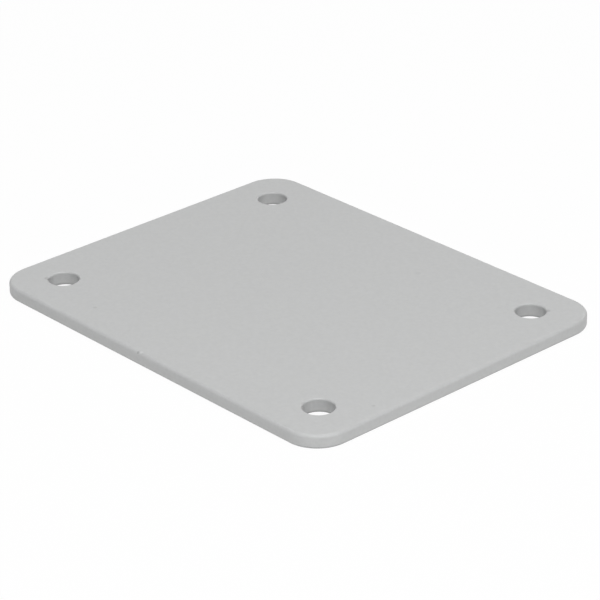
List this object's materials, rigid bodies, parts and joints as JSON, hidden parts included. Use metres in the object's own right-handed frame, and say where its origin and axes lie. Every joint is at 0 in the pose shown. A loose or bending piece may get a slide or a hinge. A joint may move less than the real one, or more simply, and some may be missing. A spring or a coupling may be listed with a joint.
{
  "type": "rectangular cover plate",
  "caption": "Flat rectangular plate with rounded corners and a round clearance hole near each corner, powder coated light grey, to cover an opening or blank off a mounting place.",
  "frame": {"origin": "centre of the back face, at its surface", "axes": "+X along the long sides, +Y along the short sides, +Z through the thickness, out of the front face"},
  "size_m": [0.1, 0.08, 0.003],
  "materials": {
    "powder_coat": "satin light grey powder coat with a fine orange-peel texture on sheet steel"
  },
  "bodies": {
    "root": {"cover_plate": "powder_coat"}
  },
  "joints": []
}
